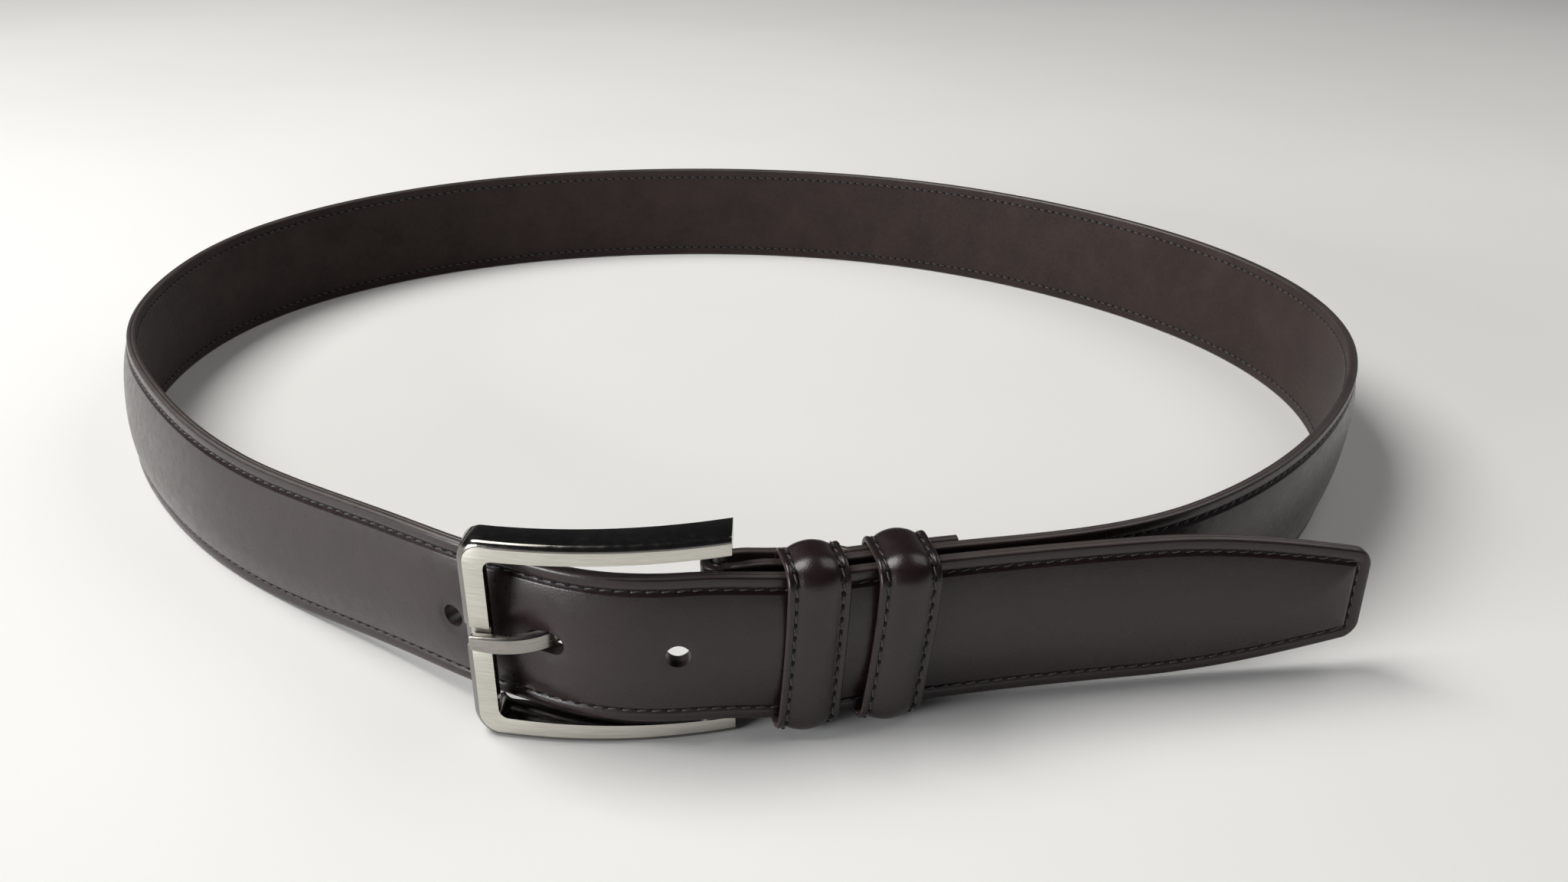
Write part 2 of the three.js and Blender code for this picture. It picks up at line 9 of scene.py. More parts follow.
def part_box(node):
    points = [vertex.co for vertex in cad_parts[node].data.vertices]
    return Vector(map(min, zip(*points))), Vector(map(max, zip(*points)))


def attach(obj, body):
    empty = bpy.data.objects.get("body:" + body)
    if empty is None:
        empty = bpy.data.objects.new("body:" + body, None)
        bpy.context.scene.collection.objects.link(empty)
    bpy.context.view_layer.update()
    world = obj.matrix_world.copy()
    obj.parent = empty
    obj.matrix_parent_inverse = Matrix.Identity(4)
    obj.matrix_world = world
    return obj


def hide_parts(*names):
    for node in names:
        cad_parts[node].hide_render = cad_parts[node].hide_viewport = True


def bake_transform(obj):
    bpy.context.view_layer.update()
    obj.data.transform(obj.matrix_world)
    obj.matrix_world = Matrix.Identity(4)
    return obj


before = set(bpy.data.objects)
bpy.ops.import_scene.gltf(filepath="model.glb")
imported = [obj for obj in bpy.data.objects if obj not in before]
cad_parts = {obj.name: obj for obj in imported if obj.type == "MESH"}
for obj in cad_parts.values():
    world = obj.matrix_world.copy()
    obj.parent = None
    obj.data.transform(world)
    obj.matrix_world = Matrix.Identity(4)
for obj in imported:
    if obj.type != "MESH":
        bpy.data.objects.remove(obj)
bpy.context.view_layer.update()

MM = 0.001
HEEL = np.array([(a + b) / 2 / MM for a, b in zip(*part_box("heel_bar"))])  # the pin's axis, in millimetres


# ---- camera: the photograph's viewing angle ----
def make_camera():
    data = bpy.data.cameras.new("camera")
    data.lens = 31.13
    data.sensor_width = 36
    data.clip_start = 0.01
    cam = bpy.data.objects.new("camera", data)
    cam.location = ((HEEL[0] + 12.6) * MM, (HEEL[1] - 226) * MM, 0.1776)
    cam.rotation_euler = (math.radians(90 - 26.59), 0, 0)
    bpy.context.scene.collection.objects.link(cam)
    bpy.context.scene.camera = cam


make_camera()

# ---- dimensions, in millimetres ----
HALF_WIDTH = 17.0
BACK = 2.1
HEEL_AT = 1.46
PRONG_HOLE = 173.0
FIRST_HOLE_NEARER = 1.9
HOLE_PITCH = 25.4
HOLE_RADIUS = 2.5
PITCH = 3.0  # stitches
INSET = 3.0
TIP_HALF_WIDTH = 10.5
TIP_CORNER = 3.5
TIP_TAPER = 50.0
BUCKLE_HEIGHT = 46.0
MID_HEIGHT = 23.0
BUCKLE_LEFT = -50.3
BUCKLE_RIGHT = 2.7
BAR_WIDTH = 5.4
BAR_DEPTH = 3.2
FOLD_THICK = 2.0
LOWER_ARM = 4.9
UPPER_ARM = 4.2
ARM_END = 3.85
CORNER_OUT = 5.0
CORNER_IN = 2.0
BEVEL = 1.3

ARM_DEPTH = 6.6
ARM_DEPTH_END = 8.0
FACE_RADIUS = 100.0
FACE_MIDDLE = -24.3
FACE_FRONT = -8.0
IN_BUCKLE = 5.4  # height of the strap's lower edge in the buckle, which is taller than the strap
TO_KEEPER = 3.0  # how much lower it is in the keepers
TO_FLOOR = 2.4
TIP_DROP = 1.2
LEFT_LEAN = 0.11
BACK_LEAN = 0.08

# Plan of the strap's mid-plane from the heel bar, round the loop, through the buckle to the tip of the tail.
ROUTE = np.array([
    [-1, -2], [32, 6.5], [65.5, 12.5], [98, 25.5], [128, 49], [153, 82],
    [171.5, 120], [173.5, 162], [156.5, 207], [121, 248.5], [72.5, 283], [13.5, 301],
    [-49.5, 301.5], [-106.5, 287], [-151, 257.5], [-178, 219], [-185, 175], [-178.5, 131.5],
    [-155.5, 94.5], [-127.5, 61], [-96, 37.5], [-70, 18.5], [-52.5, 5], [-39.5, -1],
    [-26.5, -7.5], [-5.5, -9], [22.5, -0.5], [69, 9], [137, 19],
])


def smooth(a, b, x):
    t = np.clip((x - a) / (b - a), 0, 1)
    return t * t * (3 - 2 * t)


# ---- the strap's route, as part.mjs lays it out ----
def spline_table(points, per_span=80):
    ends = np.vstack([2 * points[0] - points[1], points, 2 * points[-1] - points[-2]])
    t = np.linspace(0, 1, per_span, endpoint=False)[:, None]
    rows = []
    for k in range(len(ends) - 3):
        a, b, c, d = ends[k:k + 4]
        rows.append(((1 - t) ** 3 * a + (3 * t ** 3 - 6 * t ** 2 + 4) * b
                     + (-3 * t ** 3 + 3 * t ** 2 + 3 * t + 1) * c + t ** 3 * d) / 6)
    rows.append(((ends[-3] + 4 * ends[-2] + ends[-1]) / 6)[None])
    return np.vstack(rows)


TABLE = spline_table(ROUTE)
ARC = np.r_[0, np.cumsum(np.hypot(*np.diff(TABLE, axis=0).T))]
LENGTH = ARC[-1]
SLOPE = np.gradient(TABLE, ARC, axis=0)
SLOPE /= np.hypot(*SLOPE.T)[:, None]


def route(u):
    """Point, direction along and direction across, from grain side to lining side, at each distance u."""
    point = np.stack([np.interp(u, ARC, TABLE[:, i]) for i in (0, 1)], -1)
    along = np.stack([np.interp(u, ARC, SLOPE[:, i]) for i in (0, 1)], -1)
    along /= np.hypot(along[..., 0], along[..., 1])[..., None]
    return point, along, np.stack([-along[..., 1], along[..., 0]], -1)


def tail_at(x):
    """Distance along the strap at which the tail's side of the route has this x."""
    late = ARC > LENGTH - 260
    return float(np.interp(x, TABLE[late, 0], ARC[late]))


BEHIND_BAR = tail_at(-48)
AT_HEEL = tail_at(0)
AT_HINGE = tail_at(50)


def hole_at(k):
    """Distance along the strap of a hole; 0 is the prong's, and the one before it is a little nearer."""
    return LENGTH - PRONG_HOLE + HOLE_PITCH * k + (FIRST_HOLE_NEARER if k < 0 else 0)


HOLES = [hole_at(k) for k in range(-1, 4)]
PRONG_AT = hole_at(0)


def lift(u):
    """Height of the strap's lower edge above the floor."""
    early = IN_BUCKLE - TO_KEEPER * smooth(-6, 22, u) - TO_FLOOR * smooth(45, 110, u)
    late = IN_BUCKLE * (1 - smooth(185, 275, LENGTH - u)) - TO_KEEPER * smooth(AT_HEEL - 6, AT_HEEL + 22, u)
    late = late - TIP_DROP * smooth(AT_HINGE, LENGTH + 40, u)
    return np.where(u < LENGTH / 2, early, late)


def tilt(u):
    """Lean, as depth per height: round the back the strap's top is outwards, and on the left its foot."""
    left_run = smooth(LENGTH - 560, LENGTH - 390, u)
    on_left = LEFT_LEAN * left_run * (1 - smooth(LENGTH - 345, LENGTH - 195, u))
    return on_left - BACK_LEAN * smooth(60, 200, u) * (1 - left_run)


def square_half_width(u):
    t = np.clip((LENGTH - u) / TIP_TAPER, 0, 1)
    return TIP_HALF_WIDTH + (HALF_WIDTH - TIP_HALF_WIDTH) * np.sin(np.pi / 2 * t)


def half_width(u):
    short = np.clip(TIP_CORNER - (LENGTH - u), 0, TIP_CORNER)
    return square_half_width(u) - TIP_CORNER + np.sqrt(TIP_CORNER ** 2 - short ** 2)


# ---- the strap's surface ----
# Height of the grain face in front of the mid-plane against the distance from the strap's outline: a rolled
# edge, a flat rim, the stitch groove, and the step up to the raised middle.
RIM = np.array([
    [0, -0.5], [0.12, -0.05], [0.35, 0.2], [0.8, 0.32], [1.4, 0.36], [2.0, 0.34],
    [2.4, 0.22], [2.75, 0.04], [3.0, -0.02], [3.25, 0.06], [3.6, 0.42], [3.9, 0.66],
])
PAD_FROM, PAD_LOW = RIM[-1]
PAD_RISE = 1.44
GRAIN_FRONT = 2.1
BACK_AT_FOLD = -0.11  # depth of the strap's back at the heel bar, where only the fold's thickness is left


def grain_height(d):
    middle = np.clip(HALF_WIDTH - d, 0, HALF_WIDTH - PAD_FROM) / (HALF_WIDTH - PAD_FROM)
    pad = PAD_LOW + PAD_RISE * (1 - middle ** 2.5)
    return np.where(d < PAD_FROM, np.interp(d, RIM[:, 0], RIM[:, 1]), pad)


def outline_distance(u, w):
    """How far in a point is from the strap's outline, which has rounded corners at the tip."""
    side = square_half_width(u) - np.abs(w)
    end = LENGTH - u
    near = (side < TIP_CORNER) & (end < TIP_CORNER)
    corner = TIP_CORNER - np.hypot(TIP_CORNER - side, TIP_CORNER - end)
    return np.maximum(0, np.where(near, corner, np.minimum(side, end)))


def dish(u, w):
    """The leather gives where the prong draws on it."""
    return 1.1 * np.exp(-((u - (PRONG_AT - 2.5)) / 6.5) ** 2 - (w / 6.5) ** 2)


def grain_depth(u, w):
    depth = -grain_height(outline_distance(u, w))
    flat = 1 - smooth(HEEL_AT, 11, u)
    depth = depth * (1 - flat) - GRAIN_FRONT * flat
    for hole in HOLES:
        r = np.hypot(u - hole, w)
        depth = depth + 0.32 * np.exp(-(np.maximum(r - HOLE_RADIUS, 0) / 0.8) ** 2)
    return depth + dish(u, w)


# The section, once round from the lower edge up the grain side and down the lining side: distances in from
# the outline for the rim, shares of the half width for the raised middle and the back, (inset, depth) for the
# sides.
RIM_STEPS = RIM[:, 0]
PAD_SHARES = np.sin(np.linspace(-np.pi / 2, np.pi / 2, 31))[1:-1]
SIDE_DEPTHS = [(0.0, 0.85), (0.1, 0.95), (0.0, 1.05), (0.0, 1.55), (0.14, 1.94), (0.5, 2.1)]
BACK_SHARES = np.linspace(0.8, -0.8, 7)
EDGE, GRAIN, LINING = 1, 0, 2


def strap_sections(u):
    """Height from the middle and depth of the section's points at each u, and the material of each strip."""
    hw = half_width(u)[:, None]
    rim = RIM_STEPS[None]
    pad_half = np.maximum(hw - PAD_FROM, 0.5)
    w_front = np.hstack([-(hw - rim), PAD_SHARES[None] * pad_half, (hw - rim)[:, ::-1]])
    uu = np.repeat(u[:, None], w_front.shape[1], 1)
    d_front = grain_depth(uu, w_front)
    inset = np.array([a for a, _ in SIDE_DEPTHS])[None]
    shallow = 1 - smooth(HEEL_AT, 11, u)[:, None]
    end = LENGTH - u[:, None]
    rounded = 0.5 * np.clip(1 - end / 0.6, 0, 1) ** 2
    depth = np.array([b for _, b in SIDE_DEPTHS])[None] * (1 - shallow) + BACK_AT_FOLD * shallow
    d_side = depth - rounded * (inset + 0.2)
    w_back = BACK_SHARES[None] * (hw - 0.5)
    uu = np.repeat(u[:, None], w_back.shape[1], 1)
    d_back = np.full(w_back.shape, BACK) * (1 - shallow) + BACK_AT_FOLD * shallow
    d_back = d_back - rounded + dish(uu, w_back)
    w = np.hstack([w_front, hw - inset, w_back, -(hw - inset)[:, ::-1]])
    d = np.hstack([d_front, d_side, d_back, d_side[:, ::-1]])
    sides = len(SIDE_DEPTHS)
    kinds = [EDGE] * 2 + [GRAIN] * (w_front.shape[1] - 5) + [EDGE] * (2 + sides)
    kinds += [LINING] * (len(BACK_SHARES) + 1) + [EDGE] * sides
    return w, d, kinds


def to_row(point, z):
    """Millimetres from the heel bar to metres in the row frame."""
    return np.stack([(point[..., 0] + HEEL[0]) * MM, (point[..., 1] + HEEL[1]) * MM, z * MM], -1)


def strap_points(u, w, d):
    """Points at height w above the strap's middle and depth d from its mid-plane, one row for each u."""
    point, _, across = route(u)
    depth = d + tilt(u)[:, None] * w
    return to_row(point[:, None] + across[:, None] * depth[..., None], lift(u)[:, None] + HALF_WIDTH + w)


# ---- meshes ----
def make_object(name, verts, faces, materials, kinds=None, smooth_angle=None):
    mesh = bpy.data.meshes.new(name)
    mesh.from_pydata([tuple(v) for v in verts], [], faces)
    for material in materials:
        mesh.materials.append(material)
    if kinds is not None:
        mesh.polygons.foreach_set("material_index", kinds)
    mesh.polygons.foreach_set("use_smooth", [True] * len(mesh.polygons))
    if smooth_angle:
        mesh.set_sharp_from_angle(angle=math.radians(smooth_angle))
    mesh.update()
    obj = bpy.data.objects.new(name, mesh)
    bpy.context.scene.collection.objects.link(obj)
    return obj


def tube_faces(rows, columns, kinds=None, cap_kind=0):
    """Faces of a tube of rings with a cap at each end, and the material of each face."""
    faces, tags = [], []
    for i in range(rows - 1):
        for j in range(columns):
            k = (j + 1) % columns
            faces.append((i * columns + j, i * columns + k, (i + 1) * columns + k, (i + 1) * columns + j))
            tags.append(kinds[j] if kinds else 0)
    faces.append(tuple(range(columns - 1, -1, -1)))
    faces.append(tuple((rows - 1) * columns + j for j in range(columns)))
    return faces, tags + [cap_kind, cap_kind]


def fix_normals(obj):
    bm = bmesh.new()
    bm.from_mesh(obj.data)
    bmesh.ops.recalc_face_normals(bm, faces=bm.faces)
    bm.to_mesh(obj.data)
    bm.free()


def subtract(obj, cutters):
    """Cuts away the cutters, which are used up."""
    for cutter in cutters:
        mod = obj.modifiers.new("cut", "BOOLEAN")
        mod.operation = "DIFFERENCE"
        mod.solver = "EXACT"
        mod.object = cutter
    bake(obj)
    for cutter in cutters:
        bpy.data.objects.remove(cutter)


def bake(obj):
    depsgraph = bpy.context.evaluated_depsgraph_get()
    mesh = bpy.data.meshes.new_from_object(obj.evaluated_get(depsgraph), depsgraph=depsgraph)
    obj.modifiers.clear()
    obj.data = mesh


def u_steps(start, stop, step, fine_at=(), fine=0.5):
    """Distances from start to stop, closer together round the holes."""
    marks = [start]
    while marks[-1] < stop - 1e-6:
        u = marks[-1]
        near = any(abs(u - h) < 8 for h in fine_at)
        marks.append(min(u + (fine if near else step), stop))
    return np.array(marks)


def strap_piece(name, u, holes=()):
    w, d, kinds = strap_sections(u)
    verts = strap_points(u, w, d).reshape(-1, 3)
    faces, tags = tube_faces(len(u), w.shape[1], kinds, EDGE)
    obj = make_object(name, verts, faces, [LEATHER, EDGE_PAINT, LINING_LEATHER], tags)
    fix_normals(obj)
    if holes:
        subtract(obj, [hole_cutter(h) for h in holes])
        obj.data.set_sharp_from_angle(angle=math.radians(50))
    return obj


def cutter_object(bm, material):
    """Ends a bmesh as an object to cut with. The cut faces take its material, if the piece has it too."""
    mesh = bpy.data.meshes.new("cutter")
    bm.to_mesh(mesh)
    bm.free()
    mesh.materials.append(material)
    obj = bpy.data.objects.new("cutter", mesh)
    bpy.context.scene.collection.objects.link(obj)
    return obj


def round_cutter(radius, length, centre, axis, sides, material):
    bm = bmesh.new()
    bmesh.ops.create_cone(bm, cap_ends=True, segments=sides, radius1=radius, radius2=radius, depth=length)
    obj = cutter_object(bm, material)
    turn = Vector((0, 0, 1)).rotation_difference(Vector(axis))
    obj.matrix_world = Matrix.Translation(Vector(centre)) @ turn.to_matrix().to_4x4()
    bpy.context.view_layer.update()
    return obj


def hole_cutter(u):
    point, _, across = route(np.array([u]))
    z = float(lift(np.array([u]))[0]) + HALF_WIDTH
    centre = to_row(point[0], np.array(z))
    return round_cutter(HOLE_RADIUS * MM, 12 * MM, centre, (across[0, 0], across[0, 1], 0), 40, EDGE_PAINT)


# ---- materials ----
def nodes_of(name):
    material = bpy.data.materials.new(name)
    material.use_nodes = True
    tree = material.node_tree
    shader = next(n for n in tree.nodes if n.type == "BSDF_PRINCIPLED")
    return material, tree, shader


def ramp(tree, source, stops):
    """Colours at positions from 0 to 1 of a value."""
    node = tree.nodes.new("ShaderNodeValToRGB")
    elements = node.color_ramp.elements
    while len(elements) < len(stops):
        elements.new(0.5)
    for element, (position, color) in zip(elements, stops):
        element.position = position
        element.color = (*color, 1)
    tree.links.new(source, node.inputs["Fac"])
    return node.outputs["Color"]


def value_ramp(tree, source, low, high, to_low, to_high):
    """A value moved from one range to another."""
    node = tree.nodes.new("ShaderNodeMapRange")
    for key, value in (("From Min", low), ("From Max", high), ("To Min", to_low), ("To Max", to_high)):
        node.inputs[key].default_value = value
    tree.links.new(source, node.inputs["Value"])
    return node.outputs["Result"]


def noise(tree, coords, scale, detail=4.0, roughness=0.55):
    node = tree.nodes.new("ShaderNodeTexNoise")
    node.inputs["Scale"].default_value = scale
    node.inputs["Detail"].default_value = detail
    node.inputs["Roughness"].default_value = roughness
    tree.links.new(coords, node.inputs["Vector"])
    return node.outputs["Fac"]


def cells(tree, coords, scale):
    """Distance to the walls between random cells: the pores and creases of leather."""
    node = tree.nodes.new("ShaderNodeTexVoronoi")
    node.feature = "DISTANCE_TO_EDGE"
    node.inputs["Scale"].default_value = scale
    tree.links.new(coords, node.inputs["Vector"])
    return node.outputs["Distance"]


def bump(tree, height, strength, distance, below=None):
    node = tree.nodes.new("ShaderNodeBump")
    node.inputs["Strength"].default_value = strength
    node.inputs["Distance"].default_value = distance
    tree.links.new(height, node.inputs["Height"])
    if below is not None:
        tree.links.new(below, node.inputs["Normal"])
    return node.outputs["Normal"]


def stretched(tree, coords, scale):
    node = tree.nodes.new("ShaderNodeMapping")
    node.inputs["Scale"].default_value = scale
    tree.links.new(coords, node.inputs["Vector"])
    return node.outputs["Vector"]


def coords_of(tree):
    return tree.nodes.new("ShaderNodeTexCoord").outputs["Object"]


def leather(name, dark, light, roughness, grain, specular=0.5, coat=0.12):
    """Finished leather: mottled colour, pores, fine grain and slow unevenness under a thin coat."""
    material, tree, shader = nodes_of(name)
    coords = coords_of(tree)
    mottling = noise(tree, coords, 55, 5, 0.6)
    tree.links.new(ramp(tree, mottling, [(0.3, dark), (0.7, light)]), shader.inputs["Base Color"])
    pores = cells(tree, coords, 1250)
    fine = noise(tree, coords, 2600, 3, 0.6)
    patches = noise(tree, coords, 420, 4)
    tree.links.new(value_ramp(tree, patches, 0.3, 0.7, *roughness), shader.inputs["Roughness"])
    lower = bump(tree, pores, grain, 0.00012)
    middle = bump(tree, fine, grain * 0.8, 0.00008, lower)
    tree.links.new(bump(tree, noise(tree, coords, 180, 3), 0.12, 0.0006, middle), shader.inputs["Normal"])
    shader.inputs["Specular IOR Level"].default_value = specular
    shader.inputs["Coat Weight"].default_value = coat
    shader.inputs["Coat Roughness"].default_value = 0.32
    return material


def matte_leather(name, dark, light):
    """Unfinished leather: fibres and no coat."""
    material, tree, shader = nodes_of(name)
    coords = coords_of(tree)
    mottling = noise(tree, coords, 70, 6, 0.65)
    tree.links.new(ramp(tree, mottling, [(0.3, dark), (0.7, light)]), shader.inputs["Base Color"])
    patches = noise(tree, coords, 900, 4)
    tree.links.new(value_ramp(tree, patches, 0.3, 0.7, 0.62, 0.82), shader.inputs["Roughness"])
    fibres = bump(tree, noise(tree, coords, 1500, 4, 0.7), 0.35, 0.00012)
    tree.links.new(bump(tree, cells(tree, coords, 800), 0.15, 0.0001, fibres), shader.inputs["Normal"])
    shader.inputs["Specular IOR Level"].default_value = 0.2
    shader.inputs["Sheen Weight"].default_value = 0.08
    shader.inputs["Sheen Roughness"].default_value = 0.5
    return material


def brushed(name, dark, light, roughness, stretch):
    """Metal with fine lines, which run along the axes of small stretch."""
    material, tree, shader = nodes_of(name)
    coords = coords_of(tree)
    lines = noise(tree, stretched(tree, coords, stretch), 1, 5, 0.7)
    tree.links.new(ramp(tree, lines, [(0.3, dark), (0.7, light)]), shader.inputs["Base Color"])
    tree.links.new(value_ramp(tree, lines, 0.3, 0.7, *roughness), shader.inputs["Roughness"])
    tree.links.new(bump(tree, lines, 0.12, 0.00004), shader.inputs["Normal"])
    shader.inputs["Metallic"].default_value = 1.0
    return material


def polished(name, dark, light, roughness):
    """Smooth metal with a faint cloudiness."""
    material, tree, shader = nodes_of(name)
    coords = coords_of(tree)
    clouds = noise(tree, coords, 160, 5, 0.6)
    tree.links.new(ramp(tree, clouds, [(0.3, dark), (0.7, light)]), shader.inputs["Base Color"])
    patches = noise(tree, coords, 600, 4)
    tree.links.new(value_ramp(tree, patches, 0.3, 0.7, *roughness), shader.inputs["Roughness"])
    tree.links.new(bump(tree, noise(tree, coords, 900, 3), 0.04, 0.00005), shader.inputs["Normal"])
    shader.inputs["Metallic"].default_value = 1.0
    return material


def thread_look(name, dark, light):
    """Waxed thread: uneven colour and a slight nap."""
    material, tree, shader = nodes_of(name)
    coords = coords_of(tree)
    strands = noise(tree, coords, 1500, 3)
    tree.links.new(ramp(tree, strands, [(0.35, dark), (0.65, light)]), shader.inputs["Base Color"])
    tree.links.new(bump(tree, noise(tree, coords, 5000, 3), 0.5, 0.0001), shader.inputs["Normal"])
    shader.inputs["Roughness"].default_value = 0.38
    shader.inputs["Sheen Weight"].default_value = 0.2
    return material


LEATHER = leather("belt_leather", dark=(0.0105, 0.0048, 0.0055), light=(0.017, 0.0078, 0.0085),
                  roughness=(0.25, 0.36), grain=0.22, specular=0.42, coat=0.14)
KEEPER_LEATHER = leather("keeper_leather", dark=(0.01, 0.0047, 0.0052), light=(0.0165, 0.0076, 0.0082),
                         roughness=(0.24, 0.35), grain=0.24, specular=0.42, coat=0.16)
EDGE_PAINT = leather("edge_paint", dark=(0.03, 0.022, 0.02), light=(0.05, 0.037, 0.033),
                     roughness=(0.36, 0.5), grain=0.1)
LINING_LEATHER = matte_leather("lining_leather", dark=(0.02, 0.0122, 0.0102), light=(0.034, 0.021, 0.018))
THREAD = thread_look("waxed_thread", dark=(0.014, 0.009, 0.0095), light=(0.032, 0.022, 0.022))
# Near-black needle holes: painted shade where each hole's recess is.
HOLE_SHADE_PAINT = matte_leather("needle_hole_painted_shade", dark=(0.001, 0.0008, 0.0008), light=(0.003, 0.002, 0.002))
FACE_METAL = brushed("brushed_nickel", dark=(0.48, 0.462, 0.418), light=(0.66, 0.638, 0.582),
                     roughness=(0.3, 0.44), stretch=(160, 160, 4200))
# Polished sides and bevels of the buckle, the same plating as the brushed face: their dark base colour is a
# painted dark reflection.
SIDE_METAL_PAINTED_DARK = polished("polished_nickel_painted_dark", dark=(0.16, 0.152, 0.14), light=(0.22, 0.21, 0.195),
                      roughness=(0.1, 0.22))
PRONG_METAL = brushed("prong_nickel", dark=(0.27, 0.255, 0.235), light=(0.38, 0.36, 0.335),
                      roughness=(0.24, 0.38), stretch=(300, 300, 3000))
PIN_METAL = brushed("pin_steel", dark=(0.3, 0.29, 0.27), light=(0.42, 0.4, 0.38),
                    roughness=(0.25, 0.4), stretch=(3000, 3000, 200))


# ---- the strap's pieces ----
SPLIT = LENGTH - 312  # where the near left run starts to bend with the buckle


def strap_place(u, w=0.0):
    """A point on the mid-plane, as a tuple in metres."""
    point, _, _ = route(np.array([float(u)]))
    z = float(lift(np.array([float(u)]))[0]) + HALF_WIDTH + w
    return tuple(float(v) for v in to_row(point[0], np.array(z)))


UNDER_FIXED = tail_at(17.6)
UNDER_FREE = tail_at(37.0)

loop = strap_piece("belt_strap", u_steps(HEEL_AT, SPLIT, 2.2))
near_left = strap_piece("belt_strap_near_buckle", u_steps(SPLIT, BEHIND_BAR, 1.8, HOLES[:1]), HOLES[:1])
window_steps = u_steps(BEHIND_BAR, UNDER_FIXED, 1.2, HOLES[1:3], 0.4)
window = strap_piece("belt_strap_in_buckle", window_steps, [HOLES[2]])
under_keepers = strap_piece("belt_tail_in_keepers", u_steps(UNDER_FIXED, UNDER_FREE, 1.5), [HOLES[3]])
# Closer and closer towards the tip, where the rim turns the corner.
TO_TIP = [6, 5.2, 4.5, 3.9, 3.6, 3.25, 3.0, 2.75, 2.4, 2.0, 1.4, 0.9, 0.6, 0.35, 0.2, 0.1, 0.04, 0]
tip_marks = LENGTH - np.array(TO_TIP)
tail = strap_piece("belt_tail", np.r_[u_steps(UNDER_FREE, LENGTH - 7, 1.5), tip_marks])


# ---- the fold round the heel bar, and the turnback behind the strap ----
TURNBACK_END = 51.0
BEHIND_KEEPER = 5.45  # depth of the turnback's middle where the fixed keeper lies between it and the strap
BEHIND_LINING = 3.4  # and past it, where the turnback lies on the lining
FOLD_RADIUS = 2.8  # of the fold's middle, round the heel bar


def fold_path():
    """Middle line of the fold, with the direction from its grain side to its flesh side, and its lift."""
    u = np.r_[np.arange(TURNBACK_END, 12, -1.0), np.arange(12, HEEL_AT, -0.7), HEEL_AT]
    point, _, across = route(u)
    start, _, start_across = route(np.array([HEEL_AT]))
    behind_bar = FOLD_RADIUS - float(start[0] @ start_across[0])
    settled = BEHIND_KEEPER + (BEHIND_LINING - BEHIND_KEEPER) * smooth(25.6, 28, u)
    depth = behind_bar + (settled - behind_bar) * smooth(HEEL_AT, 8, u)
    back = point + across * depth[:, None]
    heading = math.atan2(start_across[0, 1], start_across[0, 0])
    turn = heading + np.pi * np.linspace(0, 1, 25)[1:]
    out = np.stack([np.cos(turn), np.sin(turn)], -1)
    middle = np.vstack([back, out * FOLD_RADIUS])
    inwards = np.vstack([-across, -out])
    return middle, inwards, np.r_[lift(u), np.full(len(out), lift(np.array([HEEL_AT]))[0])]


def fold_piece():
    point, across, low = fold_path()
    half = FOLD_THICK / 2
    # height from the strap's middle and depth from the fold's middle, once round from the lower edge
    ring = [
        (-16.9, -half + 0.3), (-16.6, -half + 0.05), (-16.2, -half), (-10, -half), (0, -half), (10, -half),
        (16.2, -half), (16.6, -half + 0.05), (16.9, -half + 0.3), (17, 0), (16.9, half - 0.3),
        (16.5, half), (6, half), (-6, half), (-16.5, half), (-16.9, half - 0.3), (-17, 0),
    ]
    w = np.array([a for a, _ in ring])
    d = np.array([b for _, b in ring])
    verts = to_row(point[:, None] + across[:, None] * d[None, :, None], low[:, None] + HALF_WIDTH + w[None])
    kinds = [EDGE] * 2 + [GRAIN] * 4 + [EDGE] * 5 + [LINING] * 3 + [EDGE] * 3
    faces, tags = tube_faces(len(point), len(ring), kinds, EDGE)
    looks = [LEATHER, EDGE_PAINT, LINING_LEATHER]
    obj = make_object("belt_turnback", verts.reshape(-1, 3), faces, looks, tags)
    fix_normals(obj)
    return obj


def box_cutter(low, high):
    """A box between two corners, in metres."""
    bm = bmesh.new()
    bmesh.ops.create_cube(bm, size=1)
    for v in bm.verts:
        v.co = Vector([(a + b) / 2 + c * (b - a) for a, b, c in zip(low, high, v.co)])
    return cutter_object(bm, EDGE_PAINT)


SLOT_HALF = 2.6  # half the height of the slot that the prong passes through


def fold_slot():
    corners = []
    for x, y, z in ((-7, -5.25, MID_HEIGHT - SLOT_HALF), (5, 5.25, MID_HEIGHT + SLOT_HALF)):
        corners.append([(x + HEEL[0]) * MM, (y + HEEL[1]) * MM, z * MM])
    return box_cutter(*corners)


turnback = fold_piece()
for piece in (turnback, loop):
    subtract(piece, [fold_slot()])
    piece.data.set_sharp_from_angle(angle=math.radians(50))


# ---- the buckle frame ----
def face_y(x):
    """The front of the buckle, curved to the waist."""
    return FACE_FRONT + FACE_RADIUS - np.sqrt(FACE_RADIUS ** 2 - (x - FACE_MIDDLE) ** 2)


NOTCH_LOW, NOTCH_HIGH, NOTCH_DEPTH = 20.8, 26.2, 1.2
NOTCH_STEP = 0.03


def half_frame(arm_height):
    """Stations of the lower half: outer edge, inner edge, depth, notch and how round the bevel is."""
    ends = (BUCKLE_RIGHT, BUCKLE_LEFT + BAR_WIDTH + CORNER_IN)
    half = []
    for x in np.linspace(*ends, 40):
        back = (x - ends[1]) / (ends[0] - ends[1])
        inner = (x, arm_height + (ARM_END - arm_height) * back)
        half.append(((x, 0), inner, ARM_DEPTH + (ARM_DEPTH_END - ARM_DEPTH) * back, 0, 1))
    for degrees in np.linspace(0, 90, 14)[1:]:
        a = math.radians(degrees)
        left, low = 1 - math.sin(a), 1 - math.cos(a)
        out = (BUCKLE_LEFT + CORNER_OUT * left, CORNER_OUT * low)
        inner = (BUCKLE_LEFT + BAR_WIDTH + CORNER_IN * left, arm_height + CORNER_IN * low)
        half.append((out, inner, BAR_DEPTH if degrees > 80 else ARM_DEPTH, 0, 1 - degrees / 90))
    return half


